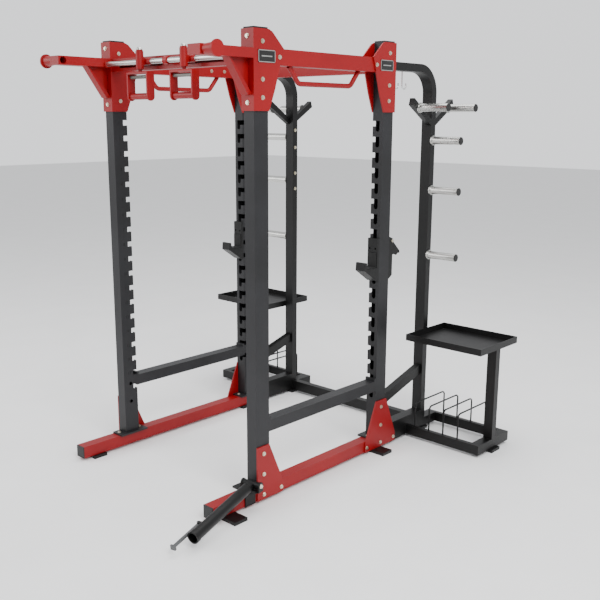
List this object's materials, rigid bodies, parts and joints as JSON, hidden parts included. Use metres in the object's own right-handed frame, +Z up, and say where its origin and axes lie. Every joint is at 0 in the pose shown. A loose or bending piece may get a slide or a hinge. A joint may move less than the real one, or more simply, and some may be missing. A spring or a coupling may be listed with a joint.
{
  "type": "power cage",
  "caption": "Four-post strength-training cage with slotted posts, pull-up stations, lift-off bar hooks and safety bars, a swivelling bar sleeve, and plate storage behind.",
  "frame": {"origin": "on the floor, at the middle of the whole cage and its storage in width and depth", "axes": "+Z up, +X to the right seen from the front, +Y from the front to the storage at the back"},
  "size_m": [2.33, 2.4038, 2.438],
  "materials": {
    "red_powder_coat": "satin",
    "charcoal_powder_coat": "satin",
    "black_powder_coat": "satin",
    "grey_powder_coat": "satin",
    "zinc_plate": "satin",
    "bright_steel": "satin",
    "knurled_steel": "matte",
    "chrome": "polished",
    "rubber": "matte",
    "black_plastic": "matte"
  },
  "bodies": {
    "frame": {"bar_hooks": "chrome", "base_flanges": "charcoal_powder_coat", "base_gusset_front_left": "red_powder_coat", "base_gusset_front_right": "red_powder_coat", "base_gusset_rear_left": "red_powder_coat", "base_gusset_rear_right": "red_powder_coat", "cross_handle_left": "red_powder_coat", "cross_handle_right": "red_powder_coat", "end_caps": "black_plastic", "foot_plates": "black_powder_coat", "frame_bolts": "zinc_plate", "front_arm_left": "red_powder_coat", "front_arm_right": "red_powder_coat", "front_crossmember": "red_powder_coat", "landmine_base": "black_powder_coat", "latch_bracket_left": "black_powder_coat", "latch_bracket_right": "black_powder_coat", "nameplates": "bright_steel", "plate_dividers": "black_powder_coat", "plate_pegs": "bright_steel", "pullup_bar": "bright_steel", "rear_crossmember": "red_powder_coat", "rubber_feet": "rubber", "side_beam_left": "red_powder_coat", "side_beam_right": "red_powder_coat", "side_pullup_bar_left": "red_powder_coat", "side_pullup_bar_right": "red_powder_coat", "side_runner_left": "red_powder_coat", "side_runner_right": "red_powder_coat", "storage_base": "black_powder_coat", "storage_frame_left": "black_powder_coat", "storage_frame_right": "black_powder_coat", "storage_shelf_left": "black_powder_coat", "storage_shelf_right": "black_powder_coat", "storage_v_arms": "black_powder_coat", "swivel_housing_left": "red_powder_coat", "swivel_housing_right": "red_powder_coat", "top_gusset_front_left": "red_powder_coat", "top_gusset_front_right": "red_powder_coat", "top_gusset_rear_left": "red_powder_coat", "top_gusset_rear_right": "red_powder_coat", "upright_front_left": "charcoal_powder_coat", "upright_front_right": "charcoal_powder_coat", "upright_rear_left": "charcoal_powder_coat", "upright_rear_right": "charcoal_powder_coat"},
    "swivel_handle_left": {"d_handle_left": "red_powder_coat", "d_handle_grip_left": "knurled_steel"},
    "swivel_handle_right": {"d_handle_right": "red_powder_coat", "d_handle_grip_right": "knurled_steel"},
    "landmine_yoke": {"landmine_yoke": "black_powder_coat"},
    "landmine_tube": {"landmine_tube": "black_powder_coat"},
    "landmine_lever": {"landmine_lever": "grey_powder_coat"},
    "j_hook_left": {"j_hook_left": "black_powder_coat", "j_hook_liner_left": "rubber"},
    "j_hook_right": {"j_hook_right": "black_powder_coat", "j_hook_liner_right": "rubber"},
    "latch_lever_left": {"latch_lever_left": "black_powder_coat"},
    "latch_lever_right": {"latch_lever_right": "black_powder_coat"},
    "safety_bar_left": {"safety_bar_left": "charcoal_powder_coat"},
    "safety_bar_right": {"safety_bar_right": "charcoal_powder_coat"}
  },
  "joints": [
    {"name": "swivel_left", "type": "hinge", "parent": "frame", "child": "swivel_handle_left", "pos_m": [-0.182, -0.61815, 2.234], "axis": [0, 0, 1], "continuous": true},
    {"name": "swivel_right", "type": "hinge", "parent": "frame", "child": "swivel_handle_right", "pos_m": [0.182, -0.61815, 2.234], "axis": [0, 0, 1], "continuous": true},
    {"name": "landmine_yaw", "type": "hinge", "parent": "frame", "child": "landmine_yoke", "pos_m": [0.629, -0.59915, 0.1083], "axis": [0, 0, 1], "range_deg": [0, 60]},
    {"name": "landmine_tilt", "type": "hinge", "parent": "landmine_yoke", "child": "landmine_tube", "pos_m": [0.629, -0.59915, 0.1403], "axis": [-0.9781, -0.2079, 0], "range_deg": [0, 80]},
    {"name": "landmine_lever_swing", "type": "hinge", "parent": "landmine_tube", "child": "landmine_lever", "pos_m": [0.67011, -0.99936, 0.07694], "axis": [-0.0325, 0.153, -0.9877], "range_deg": [0, 60]},
    {"name": "j_hook_lift_left", "type": "slide", "parent": "frame", "child": "j_hook_left", "axis": [0, 0, 1], "range_m": [0, 0.028]},
    {"name": "safety_lift_left", "type": "slide", "parent": "frame", "child": "safety_bar_left", "axis": [0, 0, 1], "range_m": [0, 0.028]},
    {"name": "latch_swing_left", "type": "hinge", "parent": "frame", "child": "latch_lever_left", "pos_m": [-0.579, 0.58885, 1.2998], "axis": [1, 0, 0], "range_deg": [0, 28]},
    {"name": "j_hook_lift_right", "type": "slide", "parent": "frame", "child": "j_hook_right", "axis": [0, 0, 1], "range_m": [0, 0.028]},
    {"name": "safety_lift_right", "type": "slide", "parent": "frame", "child": "safety_bar_right", "axis": [0, 0, 1], "range_m": [0, 0.028]},
    {"name": "latch_swing_right", "type": "hinge", "parent": "frame", "child": "latch_lever_right", "pos_m": [0.579, 0.58885, 1.2998], "axis": [1, 0, 0], "range_deg": [0, 28]}
  ]
}
